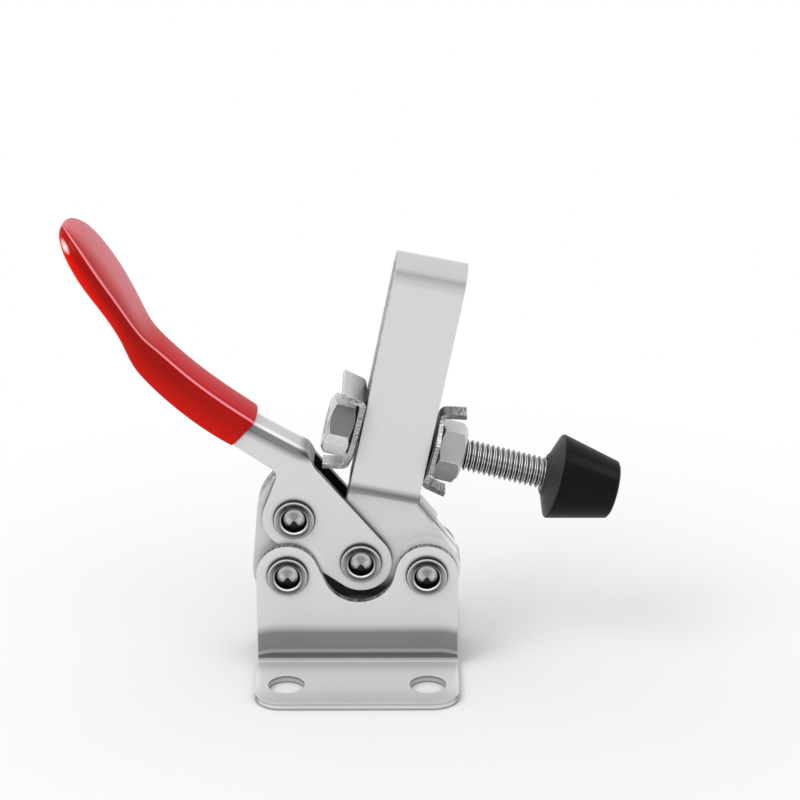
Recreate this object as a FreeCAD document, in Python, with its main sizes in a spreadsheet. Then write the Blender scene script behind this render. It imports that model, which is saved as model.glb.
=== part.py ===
"""Horizontal toggle clamp with a flanged base, shown open.

X runs from the handle to the spindle, Y from the near side plate to the far one, Z is up.
The origin is the middle of the four mounting holes, on the underside of the base.
"""
import FreeCAD, Part
import Sketcher
import math
import os
from FreeCAD import Placement, Rotation, Vector

SIZES = [
    # four pivots of the toggle linkage, open position
    ("pivot_spacing", 26.2), ("pivot_height", 19.0),
    ("link_pin_out", 1.35), ("link_pin_up", 10.9),
    ("arm_pin_back", 12.4), ("arm_pin_up", 1.95),
    ("arm_travel", 67.5), ("handle_ratio", 0.85), ("link_ratio", 0.49),
    # layers of sheet, counted outwards from the middle plane
    ("ear_inside", 0.75), ("ear_gauge", 2.0),
    ("cheek_inside", 2.95), ("cheek_gauge", 1.3),
    ("plate_inside", 4.5), ("plate_gauge", 1.4),
    # base halves
    ("base_length", 38.0), ("base_depth", 46.8), ("bend_radius", 1.5),
    ("hump_radius", 5.9), ("dip_radius", 6.9), ("dip_place", 0.3), ("dip_height", 20.3),
    ("flange_corner", 5.0), ("hole_span", 26.4), ("hole_edge", 7.4), ("hole_radius", 3.4),
    # rivets, rings and bushes
    ("shank_radius", 2.0), ("head_radius", 3.9), ("head_rise", 1.0),
    ("recess_radius", 2.35), ("recess_depth", 0.8),
    ("ring_radius", 3.2), ("running_fit", 0.06), ("side_play", 0.05),
    # links
    ("link_foot_radius", 6.7), ("link_crown_radius", 9.3), ("link_back", 5.7),
    ("link_shoulder", 5.4), ("link_nose", 3.0),
    ("slot_play", 0.3),
    # holding bar
    ("bar_tilt", 11.4), ("bar_offset", 11.04), ("bar_width", 13.0),
    ("bar_inside", 3.2), ("bar_gauge", 2.0), ("bend_height", 54.3),
    ("joggle_low", 12.0), ("joggle_high", 15.2),
    ("ear_radius", 6.4), ("lobe_radius", 5.0),
    ("tab_length", 5.0), ("tab_gauge", 1.7), ("tab_proud", 0.9),
    # handle lever
    ("cheek_lobe", 5.8), ("cheek_round", 5.95), ("neck_height", 5.3), ("ridge_radius", 1.6),
    ("tongue_half", 1.9), ("tongue_fit", 0.04),
    # clamping spindle
    ("spindle_height", 23.85), ("spindle_lean", 3.2), ("thread_radius", 3.0),
    ("nut_flats", 10.0), ("nut_height", 5.0),
    ("thread_fit", 0.05), ("washer_gauge", 1.05), ("washer_inside", 13.6), ("washer_depth", 13.2),
    ("washer_corner", 3.9), ("washer_tab", 4.0), ("tab_flare", 12.0), ("tab_half", 2.3),
    ("washer_bore", 3.3),
    ("free_thread", 15.9), ("tip_back", 1.9), ("tip_rim", 8.15), ("tip_length", 11.7),
    ("tip_end", 5.7), ("tip_bore_depth", 9.0), ("thread_chamfer", 0.6),
]

doc = FreeCAD.newDocument("toggle_clamp")
sheet = doc.addObject("Spreadsheet::Sheet", "sizes")
for row, (alias, value) in enumerate(SIZES, start=1):
    sheet.set("A%d" % row, alias)
    sheet.set("B%d" % row, str(value))
    sheet.setAlias("B%d" % row, alias)
doc.recompute()


def size(alias):
    """One driving dimension, read from the sheet."""
    return float(sheet.get(alias))


# Places of the four pivots in the side view (x, z)
LINK_BASE = (-size("pivot_spacing") / 2, size("pivot_height"))
ARM_BASE = (size("pivot_spacing") / 2, size("pivot_height"))
LINK_HANDLE = (LINK_BASE[0] + size("link_pin_out"), LINK_BASE[1] + size("link_pin_up"))
ARM_HANDLE = (ARM_BASE[0] - size("arm_pin_back"), ARM_BASE[1] + size("arm_pin_up"))
EAR_OUTSIDE = size("ear_inside") + size("ear_gauge")
CHEEK_OUTSIDE = size("cheek_inside") + size("cheek_gauge")
PLATE_OUTSIDE = size("plate_inside") + size("plate_gauge")
BAR_OUTSIDE = size("bar_inside") + size("bar_gauge")
MARGIN = 40.0


def apart(point, origin):
    """The point as seen from the origin, in the side view."""
    return (point[0] - origin[0], point[1] - origin[1])


def turned(point, degrees):
    """The point turned about the origin, anticlockwise in the side view."""
    angle = math.radians(degrees)
    return (point[0] * math.cos(angle) - point[1] * math.sin(angle),
            point[0] * math.sin(angle) + point[1] * math.cos(angle))


def new_body(name, place=(0.0, 0.0, 0.0), tilt=0.0):
    """An empty body with its own place, leaning by tilt degrees towards +X."""
    body = doc.addObject("PartDesign::Body", name)
    body.Label = name
    body.Placement = Placement(Vector(*place), Rotation(Vector(0, 1, 0), tilt))
    return body


def new_sketch(body, name, role, lift=0.0):
    """A sketch on one of the body's own origin planes, lifted along the plane's normal."""
    sketch = body.newObject("Sketcher::SketchObject", name)
    support = next(item for item in body.Origin.OriginFeatures if item.Role == role)
    sketch.AttachmentSupport = [(support, "")]
    sketch.MapMode = "FlatFace"
    sketch.AttachmentOffset = Placement(Vector(0, 0, lift), Rotation())
    return sketch


def add_line(sketch, start, end):
    sketch.addGeometry(Part.LineSegment(Vector(start[0], start[1], 0), Vector(end[0], end[1], 0)))


def add_arc(sketch, centre, radius, start, end):
    """An anticlockwise arc between two angles in degrees."""
    circle = Part.Circle(Vector(centre[0], centre[1], 0), Vector(0, 0, 1), radius)
    sketch.addGeometry(Part.ArcOfCircle(circle, math.radians(start), math.radians(end)))


def add_polygon(sketch, points):
    for start, end in zip(points, points[1:] + points[:1]):
        add_line(sketch, start, end)


def add_circle(sketch, centre, alias, extra=""):
    """A circle whose radius is a cell of the sheet, with an optional allowance."""
    value = size(alias) + (size(extra) if extra else 0.0)
    index = sketch.addGeometry(Part.Circle(Vector(centre[0], centre[1], 0), Vector(0, 0, 1), value))
    number = sketch.addConstraint(Sketcher.Constraint("Radius", index, value))
    formula = "sizes.%s" % alias + (" + sizes.%s" % extra if extra else "")
    sketch.setExpression("Constraints[%d]" % number, formula)


def add_belt(sketch, rounds):
    """A closed outline round circles (x, z, radius), anticlockwise, with tangent lines between.

    A negative radius is a hollow in the outline, and a radius of 0 a sharp corner.
    """
    headings = []
    for first, second in zip(rounds, rounds[1:] + rounds[:1]):
        step = apart(second, first)
        reach = math.hypot(*step)
        lean = math.asin((second[2] - first[2]) / reach)
        headings.append(math.degrees(math.atan2(step[1], step[0]) - lean))
    for number, (x, z, radius) in enumerate(rounds):
        before, after = headings[number - 1], headings[number]
        leave = (x + radius * math.sin(math.radians(after)), z - radius * math.cos(math.radians(after)))
        nx, nz, next_radius = rounds[(number + 1) % len(rounds)]
        arrive = (nx + next_radius * math.sin(math.radians(after)),
                  nz - next_radius * math.cos(math.radians(after)))
        add_line(sketch, leave, arrive)
        if radius > 0:
            add_arc(sketch, (x, z), radius, before - 90, before - 90 + (after - before) % 360)
        elif radius < 0:
            add_arc(sketch, (x, z), -radius, after + 90, after + 90 + (before - after) % 360)


def pad(body, sketch, formula, middle=False):
    """Material added along the sketch's normal."""
    feature = body.newObject("PartDesign::Pad", sketch.Name + "_pad")
    feature.Profile = sketch
    feature.Midplane = middle
    feature.setExpression("Length", formula)
    sketch.Visibility = False
    return feature


def cut_through(body, sketch):
    """Everything inside the sketch removed, both ways through the body."""
    doc.recompute()
    before = body.Shape.Volume
    feature = body.newObject("PartDesign::Pocket", sketch.Name + "_cut")
    feature.Profile = sketch
    feature.Type = "ThroughAll"
    feature.Midplane = True
    doc.recompute()
    if body.Shape.Volume >= before:
        raise RuntimeError(sketch.Name + " cuts nothing")
    return feature


def trim(body, name, role, rounds):
    """The body cut back to an outline on one of its planes."""
    sketch = new_sketch(body, name, role)
    xs = [item[0] for item in rounds]
    zs = [item[1] for item in rounds]
    left, right = min(xs) - MARGIN, max(xs) + MARGIN
    low, high = min(zs) - MARGIN, max(zs) + MARGIN
    add_polygon(sketch, [(left, low), (right, low), (right, high), (left, high)])
    add_belt(sketch, rounds)
    return cut_through(body, sketch)


def soften(body, radius_formula, wanted, name):
    """The edges that the test picks, rounded."""
    doc.recompute()
    base = body.Tip
    edges = ["Edge%d" % (i + 1) for i, edge in enumerate(base.Shape.Edges) if wanted(edge)]
    feature = body.newObject("PartDesign::Fillet", name)
    feature.Base = (base, edges)
    feature.setExpression("Radius", radius_formula)
    return feature


# Base: two bent side plates with flanges, bolted down through four holes
def make_base_half(name, side):
    body = new_body(name)
    gauge, bend = size("plate_gauge"), size("bend_radius")
    inside, outside = side * size("plate_inside"), side * PLATE_OUTSIDE
    edge = side * size("base_depth") / 2
    top = size("pivot_height") + size("hump_radius")
    centre = (outside + side * bend, gauge + bend)
    profile = new_sketch(body, name + "_profile", "YZ_Plane")
    add_line(profile, (inside, top), (inside, gauge + bend))
    add_line(profile, (centre[0], 0), (edge, 0))
    add_line(profile, (edge, 0), (edge, gauge))
    add_line(profile, (edge, gauge), (centre[0], gauge))
    add_line(profile, (outside, gauge + bend), (outside, top))
    add_line(profile, (outside, top), (inside, top))
    start = 270 if side < 0 else 180
    add_arc(profile, centre, bend, start, start + 90)
    add_arc(profile, centre, bend + gauge, start, start + 90)
    pad(body, profile, "sizes.base_length", middle=True)

    half = size("base_length") / 2
    trim(body, name + "_outline", "XZ_Plane", [
        (-half, -1.0, 0.0), (half, -1.0, 0.0),
        (ARM_BASE[0], ARM_BASE[1], size("hump_radius")),
        (size("dip_place"), size("dip_height"), -size("dip_radius")),
        (LINK_BASE[0], LINK_BASE[1], size("hump_radius"))])

    corner = size("flange_corner")
    front, back = abs(edge) - corner, -1.0
    rounds = [(-half + corner, -front, corner), (half - corner, -front, corner),
              (half, back, 0.0), (-half, back, 0.0)]
    if side > 0:
        rounds = [(-x, -y, radius) for x, y, radius in rounds]
    trim(body, name + "_flange", "XY_Plane", rounds)

    holes = new_sketch(body, name + "_holes", "XY_Plane")
    for x in (-size("hole_span") / 2, size("hole_span") / 2):
        add_circle(holes, (x, edge - side * size("hole_edge")), "hole_radius")
    cut_through(body, holes)
    pins = new_sketch(body, name + "_pins", "XZ_Plane")
    for pivot in (LINK_BASE, ARM_BASE):
        add_circle(pins, pivot, "shank_radius")
    cut_through(body, pins)
    return body


# Rivets: turned about their axis, with a dished head on both ends
def make_rivet(name, pivot, grip):
    body = new_body(name, (pivot[0], 0.0, pivot[1]))
    shank, head = size("shank_radius"), size("head_radius")
    recess, depth = size("recess_radius"), size("recess_depth")
    end = grip + size("head_rise")
    rim = 0.25 * size("head_rise")
    half = [(0.0, end - 0.25 * depth), (0.8 * recess, end - depth), (recess, end - depth),
            (recess, end - rim), (recess + rim, end), (head - 3 * rim, end),
            (head - rim, end - rim), (head, end - 2 * rim), (head, grip), (shank, grip)]
    outline = half + [(r, -along) for r, along in reversed(half)]
    profile = new_sketch(body, name + "_profile", "XY_Plane")
    add_polygon(profile, outline)
    turning = body.newObject("PartDesign::Revolution", name + "_turned")
    turning.Profile = profile
    turning.ReferenceAxis = (profile, ["V_Axis"])
    turning.Angle = 360.0
    return body


def make_ring(name, pivot, near, far, bore_extra):
    """A round spacer on a pivot, from y = near to y = far."""
    body = new_body(name, (pivot[0], 0.0, pivot[1]))
    profile = new_sketch(body, name + "_profile", "XZ_Plane", -far)
    add_circle(profile, (0.0, 0.0), "ring_radius")
    add_circle(profile, (0.0, 0.0), "shank_radius", bore_extra)
    feature = body.newObject("PartDesign::Pad", name + "_pad")
    feature.Profile = profile
    feature.Length = far - near
    return body


def pin_path():
    """Where the handle's pin goes in a link's own frame while the clamp closes."""
    places = []
    for step in range(41):
        angle = size("arm_travel") * step / 40
        arm_pin = turned(apart(ARM_HANDLE, ARM_BASE), -angle)
        lever = turned(apart(LINK_HANDLE, ARM_HANDLE), size("handle_ratio") * angle)
        pin = (ARM_BASE[0] + arm_pin[0] + lever[0], ARM_BASE[1] + arm_pin[1] + lever[1])
        places.append(turned(apart(pin, LINK_BASE), size("link_ratio") * angle))
    return places


# Links: two plates that hold the handle's pin in an arched clearance slot
def make_link(name, side):
    body = new_body(name, (LINK_BASE[0], 0.0, LINK_BASE[1]))
    pin = apart(LINK_HANDLE, LINK_BASE)
    crown = size("link_crown_radius")
    lift = size("ear_inside") if side < 0 else -EAR_OUTSIDE
    outline = new_sketch(body, name + "_outline", "XZ_Plane", lift)
    add_belt(outline, [
        (0.0, 0.0, size("link_foot_radius")),
        (pin[0] + 1.6, pin[1] - 0.5, size("link_shoulder")),
        (pin[0] - 0.5, pin[1] + 6.6, size("link_nose")),
        (crown - size("link_back"), pin[1] + 0.1, crown)])
    pad(body, outline, "sizes.ear_gauge")
    bore = new_sketch(body, name + "_bore", "XZ_Plane")
    add_circle(bore, (0.0, 0.0), "shank_radius", "running_fit")
    cut_through(body, bore)

    radii = [math.hypot(*place) for place in pin_path()]
    angles = [math.degrees(math.atan2(z, x)) for x, z in pin_path()]
    play = size("shank_radius") + size("slot_play")
    inner, outer = min(radii) - play, max(radii) + play
    middle = (inner + outer) / 2
    low, high = min(angles), max(angles)
    slot = new_sketch(body, name + "_slot", "XZ_Plane")
    add_arc(slot, (0.0, 0.0), outer, low, high)
    add_arc(slot, (0.0, 0.0), inner, low, high)
    for angle, start in ((low, 180), (high, 0)):
        end = turned((middle, 0.0), angle)
        add_arc(slot, end, (outer - inner) / 2, angle + start, angle + start + 180)
    cut_through(body, slot)
    return body


# Holding bar: one strip bent over at the top, joggled inwards to two ears at the foot
def make_holding_bar():
    name = "holding_bar"
    body = new_body(name, (ARM_BASE[0], 0.0, ARM_BASE[1]), size("bar_tilt"))
    centre = -size("bar_offset")
    left, right = centre - size("bar_width") / 2, centre + size("bar_width") / 2
    foot = -size("ear_radius") - 1.0
    low, high = size("joggle_low"), size("joggle_high")
    gauge = size("ear_gauge")
    rise = size("bar_inside") - size("ear_inside")
    run = high - low
    bow = (run ** 2 + rise ** 2) / (4 * rise)
    sweep = math.degrees(2 * math.atan2(rise, run))
    tight, wide = bow - gauge / 2, bow + gauge / 2
    low_centre = size("ear_inside") + gauge / 2 + bow
    high_centre = size("bar_inside") + gauge / 2 - bow
    top = size("bend_height")

    strip = new_sketch(body, name + "_strip", "YZ_Plane")
    for side in (-1, 1):
        ear_in, ear_out = side * size("ear_inside"), side * EAR_OUTSIDE
        leg_in, leg_out = side * size("bar_inside"), side * BAR_OUTSIDE
        add_line(strip, (ear_in, foot), (ear_out, foot))
        add_line(strip, (ear_in, foot), (ear_in, low))
        add_line(strip, (ear_out, foot), (ear_out, low))
        add_line(strip, (leg_in, high), (leg_in, top))
        add_line(strip, (leg_out, high), (leg_out, top))
        for radius in (tight, wide):
            if side > 0:
                add_arc(strip, (low_centre, low), radius, 180 - sweep, 180)
                add_arc(strip, (high_centre, high), radius, -sweep, 0)
            else:
                add_arc(strip, (-low_centre, low), radius, 0, sweep)
                add_arc(strip, (-high_centre, high), radius, 180, 180 + sweep)
    add_arc(strip, (0.0, top), size("bar_inside"), 0, 180)
    add_arc(strip, (0.0, top), BAR_OUTSIDE, 0, 180)
    pad(body, strip, "2 * (sizes.bar_offset + sizes.bar_width)", middle=True)

    lobe = turned(apart(ARM_HANDLE, ARM_BASE), size("bar_tilt"))
    ceiling = top + BAR_OUTSIDE + 1.0
    trim(body, name + "_side", "XZ_Plane", [
        (lobe[0], lobe[1], size("lobe_radius")), (0.0, 0.0, size("ear_radius")),
        (right + 0.6, low + 0.6, -0.6), (right, ceiling, 0.0), (left, ceiling, 0.0),
        (left, low, 0.0)])
    pins = new_sketch(body, name + "_pins", "XZ_Plane")
    add_circle(pins, (0.0, 0.0), "shank_radius", "running_fit")
    add_circle(pins, lobe, "shank_radius", "running_fit")
    cut_through(body, pins)

    # stiffening tab folded from the far ear along its front edge
    reach = math.hypot(right, low)
    slope = math.degrees(math.atan2(low, right) - math.acos(size("ear_radius") / reach))
    along = turned((0.0, -1.0), slope)
    outward = turned((1.0, 0.0), slope)
    start = (right + 0.3 * along[0] + size("tab_proud") * outward[0],
             low + 0.3 * along[1] + size("tab_proud") * outward[1])
    tab_end = (start[0] + size("tab_length") * along[0], start[1] + size("tab_length") * along[1])
    depth = size("tab_gauge") + size("tab_proud")
    tab = new_sketch(body, name + "_tab", "XZ_Plane", -EAR_OUTSIDE)
    add_polygon(tab, [start, tab_end,
                      (tab_end[0] - depth * outward[0], tab_end[1] - depth * outward[1]),
                      (start[0] - depth * outward[0], start[1] - depth * outward[1])])
    pad(body, tab, "sizes.ear_gauge + 1.5 * sizes.ear_inside")
    return body


# Handle: a folded channel whose cheeks straddle the links and the bar's ears
GRIP_SECTIONS = [
    # x and z from the bar pin, heading in degrees, half width, bulge of the side, edge, crown, belly
    (-21.7, 26.85, 145.0, 4.95, 0.5, 2.6, 3.3, 3.3),
    (-26.9, 30.45, 142.0, 5.0, 0.5, 2.6, 3.25, 3.25),
    (-32.8, 35.2, 138.0, 5.0, 0.5, 2.6, 3.25, 3.25),
    (-36.6, 38.9, 134.0, 5.05, 0.5, 2.6, 3.2, 3.2),
    (-39.2, 41.9, 129.0, 5.5, 0.6, 2.3, 2.8, 2.8),
    (-40.9, 45.2, 118.0, 6.8, 0.9, 1.6, 2.2, 2.0),
    (-42.5, 48.7, 115.0, 8.3, 1.2, 1.35, 2.1, 1.8),
    (-44.8, 53.1, 119.0, 9.3, 1.3, 1.3, 2.2, 1.8),
    (-47.6, 57.6, 121.0, 9.7, 1.3, 1.25, 2.2, 1.8),
    (-50.2, 61.6, 124.0, 8.7, 1.2, 1.2, 2.0, 1.7),
    (-52.2, 63.95, 130.0, 5.9, 1.0, 1.0, 1.6, 1.4),
    (-53.4, 65.1, 135.0, 3.2, 0.6, 0.6, 0.9, 0.9),
]


def tongue_corners(play):
    """The lever's tongue inside the grip: top and bottom at the grip's mouth and at its end."""
    first, second = GRIP_SECTIONS[0], GRIP_SECTIONS[1]
    step = apart(second, first)
    reach = math.hypot(*step)
    forward = (step[0] / reach, step[1] / reach)
    up = (forward[1], -forward[0])
    half = size("tongue_half") + play
    corners = []
    for distance, sign in ((-play, 1), (reach + play, 1), (reach + play, -1), (-play, -1)):
        corners.append((first[0] + distance * forward[0] + sign * half * up[0],
                        first[1] + distance * forward[1] + sign * half * up[1]))
    return corners


def make_handle_lever():
    name = "handle_lever"
    body = new_body(name, (ARM_HANDLE[0], 0.0, ARM_HANDLE[1]))
    pin = apart(LINK_HANDLE, ARM_HANDLE)
    gauge = size("cheek_gauge")
    web_end = (-9.9, 22.15)
    mouth_top, tip_top, tip_low, mouth_low = tongue_corners(0.0)
    ridge = apart(mouth_top, web_end)
    span = math.hypot(*ridge)
    across = (-ridge[1] / span, ridge[0] / span)
    neck_low = (mouth_top[0] + size("neck_height") * across[0],
                mouth_top[1] + size("neck_height") * across[1])
    outline = new_sketch(body, name + "_outline", "XZ_Plane")
    add_belt(outline, [
        (0.0, 0.0, size("cheek_lobe")),
        (-8.5, 19.2, 0.0), (web_end[0], web_end[1], 0.0),
        (mouth_top[0], mouth_top[1], 0.0), (tip_top[0], tip_top[1], 0.0),
        (tip_low[0], tip_low[1], 0.0), (mouth_low[0], mouth_low[1], 0.0),
        (neck_low[0], neck_low[1], 0.0),
        (-17.2, 17.6, -1.6),
        (pin[0], pin[1], size("cheek_round"))])
    pad(body, outline, "2 * (sizes.cheek_inside + sizes.cheek_gauge)", middle=True)
    soften(body, "sizes.ridge_radius", lambda edge: is_ridge(edge, web_end, mouth_top), name + "_ridge")

    # the hollow under the web, open at the foot and at the front
    hollow = new_sketch(body, name + "_hollow", "XZ_Plane")
    start = (web_end[0] + 6 * gauge * -ridge[0] / span, web_end[1] + 6 * gauge * -ridge[1] / span)
    finish = (mouth_top[0] + 9 * ridge[0] / span, mouth_top[1] + 9 * ridge[1] / span)
    upper = [(p[0] + 1.25 * gauge * across[0], p[1] + 1.25 * gauge * across[1]) for p in (start, finish)]
    add_polygon(hollow, [upper[0], upper[1], (upper[1][0] - MARGIN, -MARGIN), (MARGIN, -MARGIN)])
    feature = body.newObject("PartDesign::Pocket", name + "_channel")
    feature.Profile = hollow
    feature.Midplane = True
    feature.setExpression("Length", "2 * sizes.cheek_inside")

    pins = new_sketch(body, name + "_pins", "XZ_Plane")
    add_circle(pins, (0.0, 0.0), "shank_radius")
    add_circle(pins, pin, "shank_radius")
    cut_through(body, pins)
    return body


def is_ridge(edge, web_end, mouth_top):
    """One of the two long outer edges along the top of the neck."""
    middle = edge.CenterOfMass
    expected = ((web_end[0] + mouth_top[0]) / 2, (web_end[1] + mouth_top[1]) / 2)
    on_outside = abs(abs(middle.y) - CHEEK_OUTSIDE) < 0.01
    return on_outside and math.hypot(*apart((middle.x, middle.z), expected)) < 0.01


def add_section(body, number, section):
    """One closed section of the grip: crowned above, bellied below, with round sides."""
    x, z, heading, half, bulge, edge, crown, belly = section
    sketch = new_sketch(body, "grip_section_%d" % number, "XY_Plane")
    angle = math.radians(heading)
    forward = Vector(math.cos(angle), 0, math.sin(angle))
    sideways = Vector(0, 1, 0)
    up = forward.cross(sideways)
    sketch.AttachmentOffset = Placement(Vector(x, 0, z), Rotation(sideways, up, forward, "XYZ"))
    flank = half - bulge
    corners = [(-flank, edge), (flank, edge), (flank, -edge), (-flank, -edge)]
    middles = [(0.0, crown), (half, 0.0), (0.0, -belly), (-half, 0.0)]
    for index, middle in enumerate(middles):
        start, end = corners[index], corners[(index + 1) % 4]
        sketch.addGeometry(Part.Arc(Vector(*start, 0), Vector(*middle, 0), Vector(*end, 0)))
    return sketch


def make_handle_grip():
    name = "handle_grip"
    body = new_body(name, (ARM_HANDLE[0], 0.0, ARM_HANDLE[1]))
    sections = [add_section(body, number, section) for number, section in enumerate(GRIP_SECTIONS)]
    loft = body.newObject("PartDesign::AdditiveLoft", name + "_loft")
    loft.Profile = sections[0]
    loft.Sections = sections[1:]
    doc.recompute()
    socket = new_sketch(body, name + "_socket", "XZ_Plane")
    add_polygon(socket, tongue_corners(size("tongue_fit")))
    feature = body.newObject("PartDesign::Pocket", name + "_socket_cut")
    feature.Profile = socket
    feature.Midplane = True
    feature.setExpression("Length", "2 * (sizes.cheek_inside + sizes.cheek_gauge + sizes.tongue_fit)")
    return body


# Spindle set: it crosses the bar's slot, and leans a little in the slot's play
SPINDLE_TILT = size("bar_tilt") + size("spindle_lean")


def spindle_place(across):
    """The point on the spindle's axis at this distance from the middle of the bar."""
    middle = turned((-size("bar_offset"), size("spindle_height")), -size("bar_tilt"))
    along = turned((across, 0.0), -SPINDLE_TILT)
    return (ARM_BASE[0] + middle[0] + along[0], 0.0, ARM_BASE[1] + middle[1] + along[1])


LEAN_ROOM = size("washer_inside") / 2 * math.tan(math.radians(size("spindle_lean")))
WASHER_FACE = size("bar_width") / 2 / math.cos(math.radians(size("spindle_lean"))) \
    + LEAN_ROOM + size("side_play")
NUT_FACE = WASHER_FACE + size("washer_gauge") + size("side_play")


def make_washer(name, side, top_half):
    """A washer plate with cut corners and two flared tabs; top_half is half the upper tab's depth."""
    body = new_body(name, spindle_place(side * WASHER_FACE), SPINDLE_TILT)
    gauge, half, reach = size("washer_gauge"), size("washer_inside") / 2, size("washer_tab")
    flare = math.radians(size("tab_flare"))
    profile = new_sketch(body, name + "_profile", "XZ_Plane")
    inner = [(gauge, half - 0.5 * gauge), (1.5 * gauge, half)]
    inner.append((inner[1][0] + (reach - gauge / 2) * math.cos(flare),
                  half + (reach - gauge / 2) * math.sin(flare)))
    outer = [(inner[2][0] - gauge * math.sin(flare), inner[2][1] + gauge * math.cos(flare)),
             (1.3 * gauge, half + gauge), (0.5 * gauge, half + 0.85 * gauge), (0.0, half)]
    upper = inner + outer
    points = upper + [(x, -z) for x, z in reversed(upper)]
    add_polygon(profile, [(side * x, z) for x, z in points])
    pad(body, profile, "sizes.washer_depth", middle=True)
    corner, depth, low_half = size("washer_corner"), size("washer_depth") / 2, size("tab_half")
    top = half + gauge + reach
    low = half - 0.5
    trim(body, name + "_face", "YZ_Plane", [
        (depth, -half + corner, 0.0), (depth, half - corner, 0.0),
        (top_half, low, 0.0), (top_half, top, 0.0), (-top_half, top, 0.0), (-top_half, low, 0.0),
        (-depth, half - corner, 0.0), (-depth, -half + corner, 0.0),
        (-low_half, -low, 0.0), (-low_half, -top, 0.0), (low_half, -top, 0.0), (low_half, -low, 0.0)])
    bore = new_sketch(body, name + "_bore", "YZ_Plane")
    add_circle(bore, (0.0, 0.0), "washer_bore")
    cut_through(body, bore)
    return body


def make_nut(name, side):
    """A hexagon nut with both ends chamfered, its flats up and down."""
    body = new_body(name, spindle_place(side * NUT_FACE), SPINDLE_TILT)
    corner = size("nut_flats") / math.sqrt(3)
    profile = new_sketch(body, name + "_hexagon", "YZ_Plane", 0.0 if side > 0 else -size("nut_height"))
    add_polygon(profile, [turned((corner, 0.0), 60 * number) for number in range(6)])
    add_circle(profile, (0.0, 0.0), "thread_radius", "thread_fit")
    pad(body, profile, "sizes.nut_height")
    doc.recompute()
    flat = size("nut_flats") / 2
    drop = (corner + 1.0 - flat) * math.tan(math.radians(30))
    groove = new_sketch(body, name + "_bevel", "XY_Plane")
    for end, sign in ((0.0, 1), (side * size("nut_height"), -1)):
        inward = sign * side * drop
        add_polygon(groove, [(end, flat), (end, corner + 1.0), (end + inward, corner + 1.0)])
    feature = body.newObject("PartDesign::Groove", name + "_chamfer")
    feature.Profile = groove
    feature.ReferenceAxis = (groove, ["H_Axis"])
    feature.Angle = 360.0
    return body


def make_spindle_stud():
    name = "spindle_stud"
    rear = -NUT_FACE - size("nut_height")
    front = NUT_FACE + size("nut_height") + size("free_thread") + size("tip_bore_depth")
    body = new_body(name, spindle_place(rear), SPINDLE_TILT)
    thread, bevel, length = size("thread_radius"), size("thread_chamfer"), front - rear
    profile = new_sketch(body, name + "_profile", "XY_Plane")
    add_polygon(profile, [(0.0, 0.0), (length, 0.0), (length, thread - bevel), (length - bevel, thread),
                          (bevel, thread), (0.0, thread - bevel)])
    turning = body.newObject("PartDesign::Revolution", name + "_turned")
    turning.Profile = profile
    turning.ReferenceAxis = (profile, ["H_Axis"])
    turning.Angle = 360.0
    return body


def make_rubber_tip():
    name = "rubber_tip"
    start = NUT_FACE + size("nut_height") + size("free_thread")
    body = new_body(name, spindle_place(start), SPINDLE_TILT)
    bore, depth = size("thread_radius") + 0.02, size("tip_bore_depth") + 0.1
    back, rim, end = size("tip_back"), size("tip_rim"), size("tip_end")
    length = back + size("tip_length")
    profile = new_sketch(body, name + "_profile", "XY_Plane")
    add_polygon(profile, [(0.0, bore), (depth, bore), (depth, 0.0), (length, 0.0),
                          (length, end - 0.7), (length - 0.7, end), (back + 0.6, rim),
                          (back, rim - 0.2), (0.3, bore + 0.9), (0.0, bore + 0.6)])
    turning = body.newObject("PartDesign::Revolution", name + "_turned")
    turning.Profile = profile
    turning.ReferenceAxis = (profile, ["H_Axis"])
    turning.Angle = 360.0
    return body


def make_rings():
    """Spacers outside the ears and links, and bushes between them."""
    play = size("side_play")
    inner, outer = EAR_OUTSIDE + play, size("plate_inside")
    bush = size("ear_inside") - play
    rings = []
    for piece, pivot in (("link", LINK_BASE), ("arm", ARM_BASE)):
        rings.append(make_ring("spacer_%s_near" % piece, pivot, -outer, -inner, ""))
        rings.append(make_ring("spacer_%s_far" % piece, pivot, inner, outer, ""))
        rings.append(make_ring("bush_%s_base" % piece, pivot, -bush, bush, "running_fit"))
    rings.append(make_ring("bush_link_handle", LINK_HANDLE, -bush, bush, ""))
    rings.append(make_ring("bush_arm_handle", ARM_HANDLE, -bush, bush, "running_fit"))
    return rings


def check_and_export(bodies):
    """Every object sound and every piece one valid solid, then one file for each piece."""
    doc.recompute()
    for item in doc.Objects:
        if "Invalid" in item.State or "Error" in item.State:
            raise RuntimeError("%s is %s" % (item.Label, item.State))
    os.makedirs("parts", exist_ok=True)
    for body in bodies:
        shape = body.Shape
        if shape.isNull() or not shape.isValid() or len(shape.Solids) != 1:
            raise RuntimeError("%s has no single sound solid" % body.Label)
        shape.exportStep("parts/%s.step" % body.Label)
        print("%-20s %9.1f mm3" % (body.Label, shape.Volume))


pieces = [make_base_half("base_near", -1), make_base_half("base_far", 1)]
pieces.append(make_rivet("rivet_link_base", LINK_BASE, PLATE_OUTSIDE))
pieces.append(make_rivet("rivet_arm_base", ARM_BASE, PLATE_OUTSIDE))
pieces.append(make_rivet("rivet_link_handle", LINK_HANDLE, CHEEK_OUTSIDE))
pieces.append(make_rivet("rivet_arm_handle", ARM_HANDLE, CHEEK_OUTSIDE))
pieces.extend(make_rings())
pieces.extend([make_link("link_near", -1), make_link("link_far", 1)])
pieces.append(make_holding_bar())
pieces.extend([make_handle_lever(), make_handle_grip()])
pieces.append(make_washer("washer_front", 1, size("tab_half")))
pieces.append(make_washer("washer_rear", -1, size("washer_depth") / 2 - 0.2))
pieces.append(make_nut("nut_front", 1))
pieces.append(make_nut("nut_rear", -1))
pieces.extend([make_spindle_stud(), make_rubber_tip()])
check_and_export(pieces)
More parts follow.
